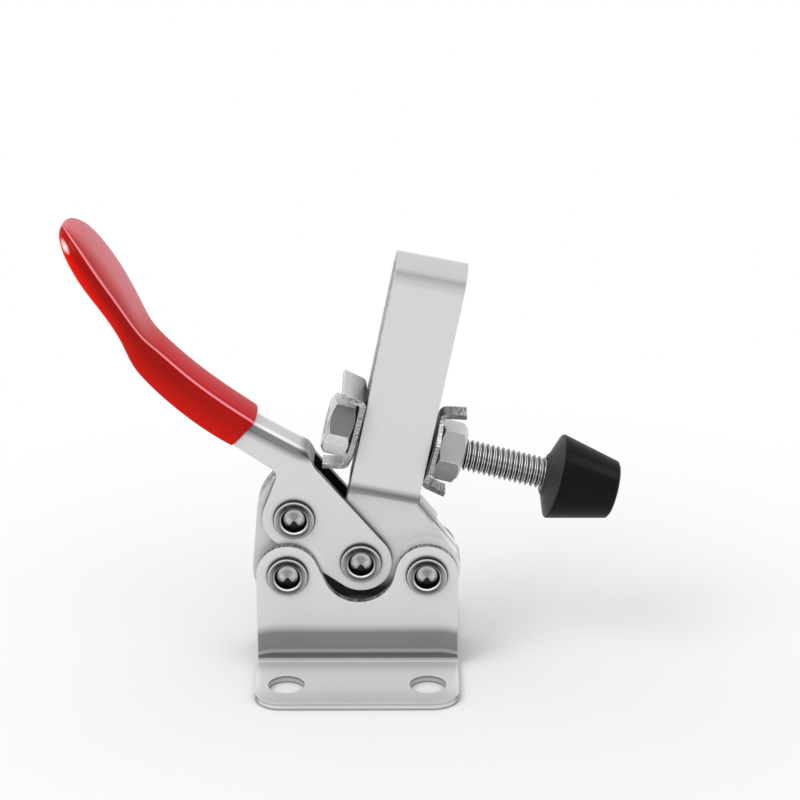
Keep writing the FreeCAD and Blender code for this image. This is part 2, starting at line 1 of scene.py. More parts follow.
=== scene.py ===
import math

import bmesh
import bpy
from mathutils import Matrix, Vector


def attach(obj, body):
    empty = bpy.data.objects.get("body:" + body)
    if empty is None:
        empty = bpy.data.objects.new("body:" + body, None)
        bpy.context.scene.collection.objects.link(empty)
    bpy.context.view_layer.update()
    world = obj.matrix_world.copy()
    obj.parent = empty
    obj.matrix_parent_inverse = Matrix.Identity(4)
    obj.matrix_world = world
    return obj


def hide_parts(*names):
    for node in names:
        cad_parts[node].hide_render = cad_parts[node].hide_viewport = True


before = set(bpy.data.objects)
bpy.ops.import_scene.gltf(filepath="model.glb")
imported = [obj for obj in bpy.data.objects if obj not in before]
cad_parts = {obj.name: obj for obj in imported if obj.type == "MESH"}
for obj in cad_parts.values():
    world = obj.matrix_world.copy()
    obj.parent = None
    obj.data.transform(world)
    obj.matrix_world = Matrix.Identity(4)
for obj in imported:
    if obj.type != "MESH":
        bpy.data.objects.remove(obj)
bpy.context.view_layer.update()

bl_info = {
    "name": "Toggle Clamp",
    "version": (1, 0, 0),
    "blender": (4, 5, 0),
    "location": "View3D > Sidebar > Toggle Clamp",
    "description": "Dresses the frame of a toggle clamp and sets it on a studio floor",
    "category": "Mesh",
}

# Lengths are metres, unless a line says millimetres
MILLIMETRE, PER_METRE = 0.001, 1000.0
CUT_REACH = 0.0000001
WHITE = (1.0, 1.0, 1.0, 1.0)

# Directions of the clamp: towards the spindle, across it from the near plate, and up
FORWARD, ACROSS, UPWARD = Vector((1, 0, 0)), Vector((0, 1, 0)), Vector((0, 0, 1))

# The pivots of the linkage, and for each rivet its pivot, half its length over the heads and the
# body that carries it
LINK_PIVOT, ARM_PIVOT = Vector((-0.0131, 0.0, 0.0190)), Vector((0.0131, 0.0, 0.0190))
LINK_PIN, HANDLE_PIVOT = Vector((-0.01175, 0.0, 0.0299)), Vector((0.0007, 0.0, 0.02095))
RIVETS = {
    "rivet_link_base": (LINK_PIVOT, 0.0069, "base"),
    "rivet_arm_base": (ARM_PIVOT, 0.0069, "base"),
    "rivet_link_handle": (LINK_PIN, 0.00525, "handle"),
    "rivet_arm_handle": (HANDLE_PIVOT, 0.00525, "handle"),
}

# Forward and upward on the holding bar, which leans forward, and on the lever's neck, which
# falls forward
TILT = math.radians(11.4)
BAR_FORWARD = Vector((math.cos(TILT), 0.0, -math.sin(TILT)))
BAR_UPWARD = Vector((math.sin(TILT), 0.0, math.cos(TILT)))
NECK_FORWARD, NECK_UPWARD = Vector((0.880, 0.0, -0.4747)), Vector((0.4747, 0.0, 0.880))

# The spindle's own frame: x runs along the thread towards the rubber tip, from the middle of
# the holding bar, and the set leans a little in the bar's slot
LEAN = math.radians(3.2)
SPINDLE_FRAME = (Matrix.Translation(ARM_PIVOT) @ Matrix.Rotation(TILT, 4, "Y")
                 @ Matrix.Translation((-0.01104, 0.0, 0.02385)) @ Matrix.Rotation(LEAN, 4, "Y"))
SPINDLE_TURN = SPINDLE_FRAME.to_3x3()
SPINDLE_FORWARD, SPINDLE_UPWARD = SPINDLE_TURN @ FORWARD, SPINDLE_TURN @ UPWARD

# Places along the spindle
WASHER_FACE, NUT_FACE = 0.00694, 0.00804
STUD_REAR, STUD_FRONT = -0.01304, 0.03794
TIP_START, TIP_LENGTH = 0.02894, 0.0136

# Painted light and shade over a rivet's colour, as grey levels by the distance from its centre in
# 4 mm: beside the centre, above it and below it
RIVET_BESIDE_PAINTED_LIGHT = (
    (0.0, 0.45), (0.30, 1.0), (0.45, 0.75), (0.50, 0.0), (0.60, 0.0), (0.63, 0.85), (0.68, 0.20),
    (0.74, 0.46), (0.88, 0.58), (0.92, 1.1), (0.945, 0.05), (0.97, 0.03), (1.0, 0.3))
RIVET_ABOVE_PAINTED_LIGHT = (
    (0.0, 0.40), (0.30, 0.45), (0.44, 1.3), (0.51, 0.0), (0.61, 0.0), (0.63, 0.40), (0.67, 0.03),
    (0.79, 0.05), (0.86, 0.45), (0.90, 1.4), (0.935, 0.03), (0.97, 0.03), (1.0, 0.3))
RIVET_BELOW_PAINTED_LIGHT = (
    (0.0, 0.40), (0.34, 0.60), (0.38, 0.0), (0.60, 0.0), (0.63, 1.7), (0.67, 1.3), (0.73, 0.14),
    (0.85, 0.28), (0.91, 0.85), (0.94, 0.05), (0.97, 0.03), (1.0, 0.3))
# Painted light on each flat of a nut, as a tone by its angle from the top towards the near side
NUT_FLAT_PAINTED_LIGHT = {
    "nut_front": ((0, 1.0), (60, 0.74), (120, 0.52)),
    "nut_rear": ((0, 1.05), (60, 0.36), (120, 1.30), (180, 0.6)),
}


def measure(name, description, default, low, high):
    """A length that the panel can change."""
    return bpy.props.FloatProperty(
        name=name, description=description, default=default, min=low, max=high,
        unit="LENGTH", subtype="DISTANCE", precision=5)


def tint(name, description, default):
    """A colour that the panel can change."""
    return bpy.props.FloatVectorProperty(
        name=name, description=description, default=default, min=0.0, max=1.0, subtype="COLOR")


class ClampSizes(bpy.types.PropertyGroup):
    """Lengths of the turned, threaded and moulded pieces."""
    pitch: measure(
        "Thread pitch", "Distance between two turns of the spindle's thread", 0.001, 0.0005, 0.002)
    thread_radius: measure(
        "Thread radius", "Radius over the crests of the spindle's thread", 0.003, 0.002, 0.003)
    thread_depth: measure("Thread depth", "Height of the thread from root to crest", 0.0006, 0.0002, 0.001)
    nut_flats: measure(
        "Nut across flats", "Distance between two opposite flats of a nut", 0.010, 0.008, 0.010)
    nut_height: measure("Nut height", "Height of each nut along the spindle", 0.005, 0.003, 0.005)
    washer_gauge: measure("Washer gauge", "Thickness of the washers' sheet", 0.00105, 0.0008, 0.00105)
    head_radius: measure("Rivet head radius", "Outer radius of the rivets' heads", 0.0039, 0.003, 0.0039)
    recess_radius: measure(
        "Rivet recess radius", "Radius of the round recess in each rivet head", 0.00235, 0.001, 0.003)
    tip_rim: measure("Tip rim radius", "Largest radius of the rubber tip", 0.00815, 0.006, 0.00815)
    tip_end: measure(
        "Tip end radius", "Radius of the rubber tip's pressing face", 0.0057, 0.004, 0.0065)


class ClampColours(bpy.types.PropertyGroup):
    """Colours of the finishes."""
    zinc: tint("Zinc plate", "Bright zinc on the folded sheet parts", (0.66, 0.66, 0.665))
    steel: tint("Fastener steel", "Plated steel of nuts, spindle and rivets", (0.62, 0.62, 0.62))
    dip: tint("Grip red", "Glossy dipped coat on the handle", (0.36, 0.006, 0.004))
    rubber: tint("Tip rubber", "Matt black rubber of the spindle's tip", (0.004, 0.004, 0.0041))
    floor: tint("Floor", "Pale studio floor", (0.90, 0.90, 0.90))


class Nodes:
    """A node tree under construction, with short calls to add its nodes."""

    def __init__(self, tree):
        self.tree = tree

    def add(self, kind, **settings):
        node = self.tree.nodes.new(kind)
        for key, value in settings.items():
            setattr(node, key, value)
        return node

    def wire(self, value, socket):
        """Leads a node's output to a socket, or sets the socket to a number or a colour."""
        if hasattr(value, "is_output"):
            self.tree.links.new(value, socket)
        else:
            socket.default_value = value

    def span(self, value, low, high, to_low=0.0, to_high=1.0):
        """The value's range from low to high drawn onto another range, and flat beyond its ends."""
        node = self.add("ShaderNodeMapRange")
        for name, number in (("From Min", low), ("From Max", high),
                             ("To Min", to_low), ("To Max", to_high)):
            node.inputs[name].default_value = number
        self.wire(value, node.inputs["Value"])
        return node.outputs["Result"]

    def math(self, operation, first, second=0.0):
        node = self.add("ShaderNodeMath", operation=operation)
        self.wire(first, node.inputs[0])
        self.wire(second, node.inputs[1])
        return node.outputs["Value"]


class Finish(Nodes):
    """One material under construction."""

    def __init__(self, name):
        self.material = bpy.data.materials.new(name)
        self.material.use_nodes = True
        super().__init__(self.material.node_tree)
        self.shader = self.tree.nodes["Principled BSDF"]
        self.place = self.add("ShaderNodeTexCoord").outputs["Object"]

    def use(self, name, value):
        """Wires or sets an input of the material's shader."""
        self.wire(value, self.shader.inputs[name])

    def done(self, colour, normal):
        """The material, with this colour and normal."""
        self.use("Base Color", colour)
        self.use("Normal", normal)
        return self.material

    def mixed_surface(self, factor, first, second):
        """Shows the first shader where the factor is zero and the second where it is one."""
        mix = self.add("ShaderNodeMixShader")
        for value, socket in zip((factor, first, second), mix.inputs):
            self.wire(value, socket)
        self.wire(mix.outputs["Shader"], self.tree.nodes["Material Output"].inputs["Surface"])

    def noise(self, scale, detail=2.0, roughness=0.5, place=None):
        node = self.add("ShaderNodeTexNoise")
        node.inputs["Scale"].default_value = scale
        node.inputs["Detail"].default_value = detail
        node.inputs["Roughness"].default_value = roughness
        self.wire(place or self.place, node.inputs["Vector"])
        return node.outputs["Fac"]

    def stretched(self, factors, turn=(0.0, 0.0, 0.0)):
        node = self.add("ShaderNodeMapping")
        node.inputs["Rotation"].default_value = turn
        node.inputs["Scale"].default_value = factors
        self.wire(self.place, node.inputs["Vector"])
        return node.outputs["Vector"]

    def spread(self, noise, to_low=0.0, to_high=1.0):
        """A cloudy noise, most of it between 0.3 and 0.7, drawn onto a range."""
        return self.span(noise, 0.3, 0.7, to_low, to_high)

    def times(self, first, second):
        return self.math("MULTIPLY", first, second)

    def unsigned(self, value):
        return self.math("ABSOLUTE", value)

    def reach(self, across, rise):
        """The distance made by two steps at right angles."""
        squares = self.math("ADD", self.times(across, across), self.times(rise, rise))
        return self.math("SQRT", squares)

    def blend(self, factor, first, second):
        """A colour between two, each a colour or a node's output."""
        node = self.add("ShaderNodeMix", data_type="RGBA")
        self.wire(factor, node.inputs["Factor"])
        self.wire(first, node.inputs["A"])
        self.wire(second, node.inputs["B"])
        return node.outputs["Result"]

    def dim(self, base, level, mask=1.0):
        """The base multiplied by a level, where the mask is one."""
        node = self.add("ShaderNodeMix", data_type="RGBA", blend_type="MULTIPLY")
        self.wire(mask, node.inputs["Factor"])
        self.wire(base, node.inputs["A"])
        self.wire(level, node.inputs["B"])
        return node.outputs["Result"]

    def ramp(self, value, stops):
        """A grey level that follows the value through (position, level) stops."""
        node = self.add("ShaderNodeValToRGB")
        band = node.color_ramp.elements
        for number, (position, level) in enumerate(stops):
            stop = band[number] if number < 2 else band.new(position)
            stop.position = position
            stop.color = (level, level, level, 1.0)
        self.wire(value, node.inputs["Fac"])
        return node.outputs["Color"]

    def toned(self, base, value, low, high, stops, mask=1.0):
        """The base multiplied by the grey levels of the stops, from the value's low to its high."""
        return self.dim(base, self.ramp(self.span(value, low, high), stops), mask)

    def relief(self, height, distance, normal=None):
        """Fine bumps of a depth in metres, over eased corners where a normal is given."""
        node = self.add("ShaderNodeBump")
        node.inputs["Distance"].default_value = distance
        self.wire(height, node.inputs["Height"])
        if normal:
            self.wire(normal, node.inputs["Normal"])
        return node.outputs["Normal"]

    def rounded(self, radius):
        """The normal with its corners eased by a radius."""
        node = self.add("ShaderNodeBevel", samples=4)
        node.inputs["Radius"].default_value = radius
        return node.outputs["Normal"]

    def painted_edge_glint(self, radius, low=0.97, high=0.80):
        """Where highlights are painted: one along the piece's edges, within a small radius, zero on its
        faces.
        """
        turn = self.add("ShaderNodeVectorMath", operation="DOT_PRODUCT")
        self.wire(self.rounded(radius), turn.inputs[0])
        self.wire(self.add("ShaderNodeNewGeometry").outputs["Normal"], turn.inputs[1])
        return self.span(turn.outputs["Value"], low, high)

    def painted_gap_shade(self, reach, low=0.25, high=0.85, dark=0.12):
        """Painted shade: a level that falls towards dark in narrow gaps and deep corners."""
        node = self.add("ShaderNodeAmbientOcclusion", samples=6)
        node.inputs["Distance"].default_value = reach
        return self.span(node.outputs["AO"], low, high, dark, 1.0)

    def facing(self, direction):
        """How far the surface faces a direction of the clamp, from -1 to 1."""
        node = self.add("ShaderNodeVectorMath", operation="DOT_PRODUCT")
        node.inputs[1].default_value = Vector(direction).normalized()
        self.wire(self.add("ShaderNodeTexCoord").outputs["Normal"], node.inputs[0])
        return node.outputs["Value"]

    def along(self, direction, origin=Vector((0.0, 0.0, 0.0))):
        """How far the surface lies from the origin along a direction, in millimetres."""
        direction = direction.normalized()
        node = self.add("ShaderNodeVectorMath", operation="DOT_PRODUCT")
        node.inputs[1].default_value = direction * PER_METRE
        self.wire(self.place, node.inputs[0])
        return self.math("SUBTRACT", node.outputs["Value"], direction.dot(origin) * PER_METRE)

    def around(self, pivot):
        """Distance from a pivot's axis, and how far before and above it, in millimetres."""
        across, rise = self.along(FORWARD, pivot), self.along(UPWARD, pivot)
        return self.reach(across, rise), across, rise


def shade(colour, factor):
    """The colour made lighter or darker, with an alpha of one."""
    return tuple(min(1.0, value * factor) for value in colour) + (1.0,)


def zinc_base(name, colour):
    """Bright zinc over rolled sheet: a faint grain and soft mottling, with painted shade in narrow gaps."""
    finish = Finish(name)
    finish.use("Metallic", 0.35)
    finish.use("Specular IOR Level", 0.2)
    cloud = finish.noise(55.0, 3.0)
    grain = finish.noise(1.0, place=finish.stretched((900.0, 900.0, 9000.0)))
    finish.use("Roughness", finish.math("ADD", finish.spread(cloud, 0.30, 0.35),
                                        finish.spread(grain, -0.015, 0.015)))
    base = finish.blend(finish.spread(cloud), shade(colour, 0.99), shade(colour, 1.01))
    # painted shade, darker in narrow gaps and corners
    return finish, finish.dim(base, finish.painted_gap_shade(0.0006, dark=0.04))


def cut_edges(finish):
    """One on the faces of a plate that don't look sideways, which are its cut edges."""
    return finish.span(finish.unsigned(finish.facing(ACROSS)), 0.45, 0.30)


def sheared(finish, base, mask, low, high):
    """Cut edges: the torn streaks of the shear across the sheet, from a low level to a high one."""
    tear = finish.noise(1.0, 3.0, 0.7, place=finish.stretched((2600.0, 450.0, 2600.0)))
    streaks = finish.span(tear, 0.38, 0.60, low, high)
    return finish.dim(base, streaks, mask), finish.times(mask, tear)


def zinc_done(finish, base, tear=None, edge=0.00018):
    """The colour with painted highlights on its corners, and the relief of the cut edges."""
    # painted highlight: white along the edges
    base = finish.blend(finish.times(finish.painted_edge_glint(edge), 0.6), base, WHITE)
    height = finish.noise(5200.0)
    if tear is not None:
        height = finish.math("ADD", height, finish.times(tear, 8.0))
    return finish.done(base, finish.relief(height, 0.0000025, finish.rounded(edge)))


def link_finish(name, colour):
    """The links: plain sheet with cut edges all round."""
    finish, base = zinc_base(name, colour)
    base, tear = sheared(finish, base, cut_edges(finish), 0.08, 0.9)
    return zinc_done(finish, base, tear)


def base_finish(name, colour):
    """The bent base plates: a painted dark reflection in the wall above the fold, cut edges on the humps.
    """
    finish, base = zinc_base(name, colour)
    # the height is in centimetres, and the distance out from the middle in 25 mm
    height = finish.times(finish.along(UPWARD), 0.1)
    # towards the plate's ends the painted reflection's lower lines run down in a curve
    ends = finish.span(finish.unsigned(finish.along(FORWARD)), 15.5, 19.0)
    drop = finish.times(finish.math("POWER", ends, 2.0), finish.span(height, 0.19, 0.25, 0.0, 0.06))
    # painted reflection and shade by height: light and dark lines on the flange's edge and in the fold, and
    # a dark band up the wall
    base = finish.dim(base, finish.ramp(finish.math("ADD", height, drop), (
        (0.0, 0.72), (0.02, 0.72), (0.05, 1.15), (0.08, 1.15), (0.105, 0.75), (0.13, 0.75),
        (0.145, 1.22), (0.152, 1.22), (0.158, 0.62), (0.178, 0.60), (0.186, 0.20), (0.270, 0.19),
        (0.300, 0.60), (0.335, 0.60), (0.375, 0.36), (0.70, 0.38), (0.82, 0.85), (0.90, 1.05))))
    flange = finish.span(height, 0.158, 0.162, 1.0, 0.0)
    out = finish.times(finish.unsigned(finish.along(ACROSS)), 0.04)
    # painted light on the flange, brighter part of the way out from the middle
    base = finish.dim(base, finish.ramp(out, (
        (0.0, 0.95), (0.34, 0.95), (0.44, 1.22), (0.56, 1.25), (0.69, 1.12), (0.78, 0.98), (0.87, 0.88),
        (0.93, 0.90))), flange)
    # painted shade: the walls of the mounting holes darken upwards
    upright = finish.span(finish.unsigned(finish.facing(UPWARD)), 0.3, 0.2)
    hole = finish.times(finish.times(upright, flange), finish.span(out, 0.83, 0.86, 1.0, 0.0))
    base = finish.dim(base, finish.span(height, 0.0, 0.15, 0.75, 0.30), hole)
    above = finish.span(height, 0.90, 1.00)
    base, tear = sheared(finish, base, finish.times(cut_edges(finish), above), 0.02, 0.55)
    # painted shade on the far plate's inner face, above 10 mm
    if name.endswith("far"):
        inner = finish.span(finish.facing(-ACROSS), 0.6, 0.9)
        base = finish.dim(base, finish.span(height, 0.8, 1.0, 1.0, 0.15), inner)
    return zinc_done(finish, base, tear)


def lever_finish(name, colour):
    """The folded lever: a painted light line on its rounded ridge, with a painted dark reflection below it.
    """
    finish, base = zinc_base(name, colour)
    side = finish.unsigned(finish.facing(ACROSS))
    # painted shade along the rounded ridge, where it turns down to the cheeks
    base = finish.dim(base, finish.ramp(side, (
        (0.0, 1.0), (0.42, 1.0), (0.54, 0.36), (0.86, 0.30), (0.95, 1.0))))
    out = finish.unsigned(finish.along(ACROSS))
    # painted highlight on the top near each ridge
    top = finish.span(side, 0.50, 0.55, 1.0, 0.0)
    base = finish.dim(base, finish.ramp(finish.times(out, 0.2), (
        (0.0, 0.95), (0.38, 0.93), (0.46, 1.45), (0.70, 1.45), (0.74, 1.0))), top)
    # painted shade: the ridge is dark forward of the neck
    end = finish.span(finish.along(NECK_FORWARD), -30.4, -28.8, 1.0, 0.35)
    base = finish.dim(base, end, finish.span(side, 0.90, 0.85))
    # painted shade: the cheeks' inner faces are painted near black
    inner = finish.times(finish.span(out, 3.3, 3.1), finish.span(side, 0.8, 0.9))
    base = finish.blend(inner, base, (0.02, 0.02, 0.02, 1.0))
    # painted reflection: a dark sheen lies on the sides of the neck, above the cheeks
    height = finish.along(UPWARD)
    neck = finish.times(finish.span(height, 40.8, 42.2), finish.span(side, 0.86, 0.95))
    base = finish.toned(base, finish.along(NECK_UPWARD), 31.0, 36.0, (
        (0.0, 1.0), (0.06, 0.95), (0.20, 0.62), (0.32, 0.32), (0.42, 0.25)), neck)
    edge = finish.times(finish.span(side, 0.30, 0.15), finish.span(height, 41.5, 42.5, 1.0, 0.0))
    base, tear = sheared(finish, base, edge, 0.08, 0.50)
    # painted light round the link's pivot, lighter near the hump
    base = finish.toned(base, finish.around(LINK_PIVOT)[0], 5.0, 11.0, (
        (0.0, 1.30), (0.20, 1.30), (0.40, 1.05), (0.60, 1.0)))
    return zinc_done(finish, base, tear)


def bar_finish(name, colour):
    """The holding bar: painted soft shade in the joggle and the fold, with cut edges down both sides."""
    finish, base = zinc_base(name, colour)
    edge = finish.span(finish.unsigned(finish.facing(BAR_FORWARD)), 0.75, 0.9)
    face = finish.span(edge, 0.0, 1.0, 1.0, 0.0)
    rise = finish.along(BAR_UPWARD, ARM_PIVOT)
    # painted light and shade in the joggle: a light line over a soft dark band
    base = finish.toned(base, rise, 10.0, 20.0, (
        (0.0, 1.0), (0.20, 1.0), (0.24, 1.25), (0.29, 1.2), (0.36, 0.60), (0.43, 0.30), (0.47, 0.33),
        (0.58, 0.95), (0.62, 1.0)), face)
    # painted shade at the fold on top
    base = finish.toned(base, rise, 53.0, 61.0, (
        (0.0, 1.0), (0.37, 1.0), (0.50, 0.58), (0.60, 0.85), (0.80, 0.88), (1.0, 0.95)), face)
    # painted light round the arm's pivot, lighter near the hump
    base = finish.toned(base, finish.around(ARM_PIVOT)[0], 5.0, 11.0, (
        (0.0, 1.50), (0.20, 1.45), (0.32, 1.15), (0.50, 1.0)), face)
    # painted shade: the ears go dark between the base plates
    base = finish.dim(base, finish.span(finish.along(UPWARD), 15.0, 17.5, 0.06, 1.0))
    base, tear = sheared(finish, base, edge, 0.10, 0.85)
    return zinc_done(finish, base, tear)


def spindle_way(finish):
    """Distance along the spindle from the middle of the bar, in millimetres."""
    return finish.along(SPINDLE_FORWARD, SPINDLE_FRAME.translation)


def washer_finish(name, colour, side):
    """A washer's bright faces, with painted shade towards the bar. Side is 1 in front of the bar, -1
    behind.
    """
    finish, base = zinc_base(name, colour)
    reach = finish.times(spindle_way(finish), side)
    # painted shade on the faces that look towards the bar
    base = finish.dim(base, finish.span(finish.facing(SPINDLE_FORWARD * side), -0.10, -0.75, 1.0, 0.22))
    upright = finish.unsigned(finish.along(SPINDLE_UPWARD, SPINDLE_FRAME.translation))
    tab = finish.span(upright, 6.6, 7.0)
    # painted shade on the tabs, darker towards the bar
    base = finish.dim(base, finish.span(reach, 7.6, 10.6, 0.30, 1.0), tab)
    tear = None
    if side > 0:
        base, tear = sheared(finish, base, finish.span(reach, 8.0, 8.6), 0.12, 0.85)
    return zinc_done(finish, base, tear, edge=0.00012)


def washer_rim_finish(name, colour, side):
    """A washer's cut rim, streaked, with painted light by facet and a painted shadow line at the bar."""
    finish, base = zinc_base(name, colour)
    reach = finish.times(spindle_way(finish), side)
    streaks = finish.stretched((700.0, 900.0, 3200.0), (0.0, TILT, 0.0))
    tear = finish.noise(1.0, 3.0, 0.7, place=streaks)
    base = finish.dim(base, finish.span(tear, 0.40, 0.58, 0.45, 1.30))
    # painted light by facet: the rim's middle facet is darker
    upright = finish.unsigned(finish.facing(SPINDLE_UPWARD))
    base = finish.dim(base, finish.span(upright, 0.15, 0.25, 0.55, 1.1))
    if side > 0:
        base = finish.dim(base, finish.span(reach, 8.1, 8.7, 1.0, 0.45))
    # a painted shadow line on the rim next to the bar
    base = finish.dim(base, finish.span(reach, 7.10, 7.20, 0.03, 1.0))
    return zinc_done(finish, base, tear, edge=0.00012)


def bright_base(name, colour, metallic=0.6):
    """Plated steel of small turned and pressed pieces."""
    finish = Finish(name)
    finish.use("Metallic", metallic)
    finish.use("Specular IOR Level", 0.1)
    cloud = finish.noise(220.0, 3.0)
    finish.use("Roughness", finish.spread(cloud, 0.24, 0.31))
    return finish, finish.blend(finish.spread(cloud), shade(colour, 0.96), shade(colour, 1.04))


def ring_finish(name, colour):
    """Spacers and bushes between the plates, with painted shade in the gaps."""
    finish, base = bright_base(name, colour)
    return finish.done(finish.dim(base, finish.painted_gap_shade(0.0020)), finish.rounded(0.00012))


def nut_finish(name, colour, tones):
    """Hexagon nut: painted light on each flat, between chamfers with painted light lines."""
    finish, base = bright_base(name, colour)
    # painted shade in the gaps, and painted light on each flat
    base = finish.dim(base, finish.painted_gap_shade(0.0008, dark=0.1))
    for angle, level in tones:
        turn = math.radians(angle)
        outward = SPINDLE_TURN @ Vector((0.0, -math.sin(turn), math.cos(turn)))
        on_flat = finish.span(finish.facing(outward), 0.985, 0.995)
        base = finish.dim(base, finish.ramp(on_flat, ((0.0, 1.0), (1.0, level))))
    # painted highlights: light lines along the edges
    base = finish.blend(finish.times(finish.painted_edge_glint(0.00022, 0.985, 0.93), 0.9), base, WHITE)
    fine = finish.noise(6000.0)
    return finish.done(base, finish.relief(fine, 0.000002, finish.rounded(0.00014)))


def thread_finish(name, colour):
    """Rolled thread, painted light and shade: dark roots and flanks, bright crests, a dark band below the
    middle.
    """
    finish, base = bright_base(name, colour, 0.8)
    # painted shade in the roots, and painted light and shade by the way each face looks
    base = finish.dim(base, finish.painted_gap_shade(0.0005, 0.30, 0.75))
    base = finish.toned(base, finish.facing(SPINDLE_FORWARD), -1.0, 1.0, (
        (0.0, 0.30), (0.15, 0.22), (0.38, 1.00), (0.50, 1.7), (0.62, 1.2), (0.85, 0.50), (1.0, 0.40)))
    base = finish.toned(base, finish.facing(SPINDLE_UPWARD), -1.0, 1.0, (
        (0.0, 1.0), (0.25, 1.1), (0.38, 0.60), (0.50, 0.55), (0.60, 1.2), (0.80, 1.3), (1.0, 0.9)))
    return finish.done(base, finish.relief(finish.noise(6000.0), 0.000002))


def rivet_finish(name, colour, pivot):
    """Bright rivet, painted light and shade: black lines round its recess and rim, a dark wedge down its
    cone.
    """
    finish, base = bright_base(name, colour, 0.4)
    radius, across, rise = finish.around(pivot)
    upward = finish.math("DIVIDE", rise, finish.math("MAXIMUM", radius, 0.01))
    share = finish.math("DIVIDE", radius, 4.0)
    beside, above, below = (finish.ramp(share, stops) for stops in
                            (RIVET_BESIDE_PAINTED_LIGHT, RIVET_ABOVE_PAINTED_LIGHT, RIVET_BELOW_PAINTED_LIGHT))
    # painted light and shade in rings round the centre: black lines and light crescents
    tone = finish.blend(finish.span(upward, 0.15, 0.85), beside, above)
    tone = finish.blend(finish.span(upward, -0.15, -0.85), tone, below)
    # painted reflection: a dark wedge down the cone below its point
    down = finish.math("MAXIMUM", finish.times(rise, -1.0), 0.001)
    slope = finish.math("DIVIDE", finish.math("SUBTRACT", finish.unsigned(across), 0.12), down)
    wedge = finish.times(finish.span(slope, 0.75, 0.50),
                         finish.times(finish.span(share, 0.50, 0.46), finish.span(rise, 0.0, -0.1)))
    tone = finish.blend(wedge, tone, (0.03, 0.03, 0.03, 1.0))
    rings = finish.math("SINE", finish.times(radius, 42.0))
    return finish.done(finish.dim(base, tone), finish.relief(rings, 0.0000015, finish.rounded(0.00006)))


def dip_finish(name, colour):
    """Glossy plastic dip: deep red sides, a painted pale reflection on top, painted light lines on its
    ridges.
    """
    finish = Finish(name)
    wave = finish.noise(70.0)
    # rise runs from 0 under the belly to 1 on the crown, paddle from 0 on the neck to 1 beyond it
    rise = finish.add("ShaderNodeAttribute", attribute_name="rise").outputs["Fac"]
    paddle = finish.add("ShaderNodeAttribute", attribute_name="paddle").outputs["Fac"]
    base = finish.blend(finish.spread(wave), shade(colour, 0.90), shade(colour, 1.10))
    # painted light: a lighter red low on the sides and under the belly, brightest on the paddle
    lit = finish.blend(paddle, (0.62, 0.010, 0.004, 1.0), (0.90, 0.006, 0.002, 1.0))
    base = finish.blend(finish.span(rise, 0.55, 0.20), base, lit)
    # painted reflection on the crown: pale red on the neck, pink on the paddle away from its near edge
    washed = finish.span(finish.along(ACROSS), -6.0, -2.0)
    palm = finish.blend(washed, (0.56, 0.050, 0.058, 1.0), (0.66, 0.165, 0.185, 1.0))
    crown = finish.blend(paddle, (0.57, 0.020, 0.026, 1.0), palm)
    base = finish.blend(finish.span(rise, 0.78, 0.90), base, crown)
    # painted highlight: a light line along each ridge
    base = finish.blend(finish.ramp(rise, (
        (0.0, 0.0), (0.735, 0.0), (0.76, 1.0), (0.785, 0.9), (0.83, 0.0))), base, (0.96, 0.30, 0.33, 1.0))
    # a small painted highlight near the paddle's end, longer along the grip than across it
    spot = HANDLE_PIVOT + Vector((-0.0520, 0.0, 0.0628))
    length_way, width_way = Vector((-0.60, 0.0, 0.80)), Vector((0.80, 0.0, 0.60))
    away = finish.reach(finish.times(finish.along(length_way, spot), 0.42),
                        finish.along(width_way, spot))
    base = finish.blend(finish.span(away, 0.62, 0.15), base, (1.0, 0.75, 0.72, 1.0))
    finish.use("Roughness", finish.spread(wave, 0.30, 0.36))
    finish.use("Specular IOR Level", 0.03)
    finish.use("Coat Weight", 0.08)
    finish.use("Coat Roughness", 0.05)
    return finish.done(base, finish.relief(wave, 0.00005))


def rubber_finish(name, colour):
    """Moulded black rubber: satin, a fine skin, a few pale specks of dust, and a painted light back and
    streak.
    """
    finish = Finish(name)
    skin, cloud = finish.noise(2600.0, 3.0), finish.noise(190.0, 3.0)
    dust = finish.span(finish.noise(3300.0, 1.0, 0.4), 0.76, 0.82, 0.0, 0.25)
    base = finish.blend(finish.spread(cloud), shade(colour, 0.85), shade(colour, 1.2))
    # painted light on the back cone, towards the bar
    back = finish.span(finish.facing(-SPINDLE_FORWARD), 0.35, 0.60)
    base = finish.blend(back, base, shade(colour, 9.0))
    # painted highlight: a thin light streak along the side that looks up and to the near side
    streak = finish.facing(SPINDLE_TURN @ Vector((0.28, -0.60, 0.75)))
    base = finish.blend(finish.span(streak, 0.985, 1.0), base, shade(colour, 4.0))
    finish.use("Roughness", finish.spread(cloud, 0.40, 0.46))
    finish.use("Specular IOR Level", 0.10)
    return finish.done(finish.blend(dust, base, shade(colour, 4.0)), finish.relief(skin, 0.000008))


def make_object(form, name, material):
    """Turns a finished form into an object of the scene."""
    mesh = bpy.data.meshes.new(name)
    form.to_mesh(mesh)
    form.free()
    mesh.materials.append(material)
    made = bpy.data.objects.new(name, mesh)
    bpy.context.scene.collection.objects.link(made)
    return made


def lay_piece(form, name, material, body, nodes, place=None, sharp=32.0):
    """Moves a finished form to its place and makes it a piece of the clamp."""
    if place is not None:
        bmesh.ops.transform(form, matrix=place, verts=form.verts)
    bmesh.ops.remove_doubles(form, verts=form.verts, dist=0.000001)
    bmesh.ops.recalc_face_normals(form, faces=form.faces)
    for face in form.faces:
        face.smooth = True
    for edge in form.edges:
        edge.smooth = len(edge.link_faces) == 2 and edge.calc_face_angle() < math.radians(sharp)
    piece = make_object(form, name, material)
    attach(piece, body)
    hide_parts(*nodes)
    return piece


